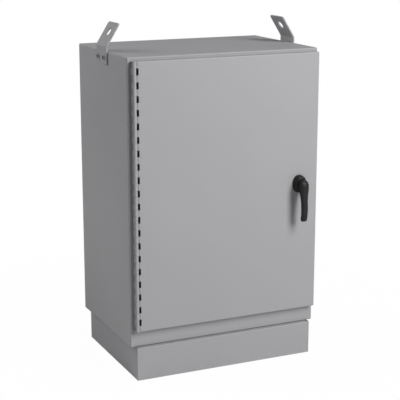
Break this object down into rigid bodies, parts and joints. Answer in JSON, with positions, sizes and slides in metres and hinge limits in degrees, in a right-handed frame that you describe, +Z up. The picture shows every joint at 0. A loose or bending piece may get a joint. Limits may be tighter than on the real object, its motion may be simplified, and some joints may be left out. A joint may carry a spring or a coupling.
{
  "type": "fiber optic cabinet",
  "caption": "Free-standing steel fibre cabinet with a plinth, a hinged door, a lever handle with latch rods, lifting straps and fibre trays inside.",
  "frame": {"origin": "on the floor, at the centre of the four anchor holes in the plinth", "axes": "+Z up, -Y out of the door, +X to the right as seen from the door side"},
  "size_m": [0.7844, 0.5875, 1.2947],
  "materials": {
    "body_paint": "light grey powder coat, fine orange peel",
    "door_paint": "light grey powder coat, fine orange peel",
    "hinge_paint": "light grey powder coat",
    "plinth_paint": "light grey powder coat",
    "panel_paint": "white enamel",
    "zinc_plate": "zinc plated",
    "black_moulding": "black satin",
    "grey_plastic": "moulded, matt",
    "black_plastic": "moulded, matt",
    "adapter_blue": "moulded",
    "seal_rubber": "closed-cell foam",
    "roller_nylon": "natural nylon"
  },
  "bodies": {
    "cabinet": {"body_shell": "body_paint", "front_frame": "body_paint", "plinth_front": "plinth_paint", "plinth_rear": "plinth_paint", "plinth_side_left": "plinth_paint", "plinth_side_right": "plinth_paint", "plinth_corner_1": "plinth_paint", "plinth_corner_2": "plinth_paint", "plinth_corner_3": "plinth_paint", "plinth_corner_4": "plinth_paint", "plinth_corner_screws": "zinc_plate", "body_bolts": "zinc_plate", "body_bolt_washers": "zinc_plate", "body_bolt_nuts": "zinc_plate", "lifting_strap_left": "body_paint", "lifting_strap_right": "body_paint", "lifting_bolts": "zinc_plate", "lifting_washers": "zinc_plate", "lifting_nuts": "zinc_plate", "hinge_leaf_body": "hinge_paint", "hinge_pin": "zinc_plate", "mounting_panel": "panel_paint", "panel_studs": "zinc_plate", "panel_nuts": "zinc_plate", "fiber_tray_box": "panel_paint", "adapter_plate": "panel_paint", "fiber_adapters": "adapter_blue", "splice_cassette_1": "grey_plastic", "splice_cassette_2": "grey_plastic", "splice_cassette_3": "grey_plastic", "slack_spools": "grey_plastic", "gland_plate": "zinc_plate", "gland_plate_screws": "zinc_plate", "gland_plate_nuts": "zinc_plate", "cable_glands": "black_plastic", "gland_locknuts": "black_plastic"},
    "door": {"door_panel": "door_paint", "hinge_leaf_door": "hinge_paint", "door_gasket": "seal_rubber", "door_stiffener": "door_paint", "document_pocket": "grey_plastic", "handle_rose": "black_moulding", "rose_screws": "zinc_plate", "shaft_bush": "zinc_plate", "bush_nut": "zinc_plate", "rod_guide_1": "zinc_plate", "rod_guide_2": "zinc_plate", "rod_guide_3": "zinc_plate", "rod_guide_4": "zinc_plate"},
    "handle": {"handle_lever": "black_moulding", "handle_shaft": "zinc_plate", "latch_cam": "zinc_plate", "cam_pins": "zinc_plate", "cam_screw": "zinc_plate"},
    "upper_rod": {"upper_rod": "zinc_plate", "upper_roller_pin": "zinc_plate"},
    "upper_roller": {"upper_roller": "roller_nylon"},
    "lower_rod": {"lower_rod": "zinc_plate", "lower_roller_pin": "zinc_plate"},
    "lower_roller": {"lower_roller": "roller_nylon"}
  },
  "joints": [
    {"name": "door_swing", "type": "hinge", "parent": "cabinet", "child": "door", "pos_m": [-0.35958, -0.25592, 0.1905], "axis": [0, 0, -1], "range_deg": [0, 170]},
    {"name": "handle_turn", "type": "hinge", "parent": "door", "child": "handle", "pos_m": [0.299, -0.2625, 0.69], "axis": [0, 1, 0], "range_deg": [0, 90]},
    {"name": "upper_rod_slide", "type": "slide", "parent": "door", "child": "upper_rod", "axis": [0, 0, 1], "range_m": [0, 0.0283]},
    {"name": "lower_rod_slide", "type": "slide", "parent": "door", "child": "lower_rod", "axis": [0, 0, -1], "range_m": [0, 0.0283]},
    {"name": "upper_roller_spin", "type": "hinge", "parent": "upper_rod", "child": "upper_roller", "pos_m": [0.28193, -0.2265, 1.138], "axis": [1, 0, 0], "continuous": true},
    {"name": "lower_roller_spin", "type": "hinge", "parent": "lower_rod", "child": "lower_roller", "pos_m": [0.31607, -0.2265, 0.2335], "axis": [1, 0, 0], "continuous": true}
  ],
  "couplings": [
    {"joint": "upper_rod_slide", "follows": "handle_turn", "m_per_rad": 0.018006},
    {"joint": "lower_rod_slide", "follows": "handle_turn", "m_per_rad": 0.018006}
  ]
}
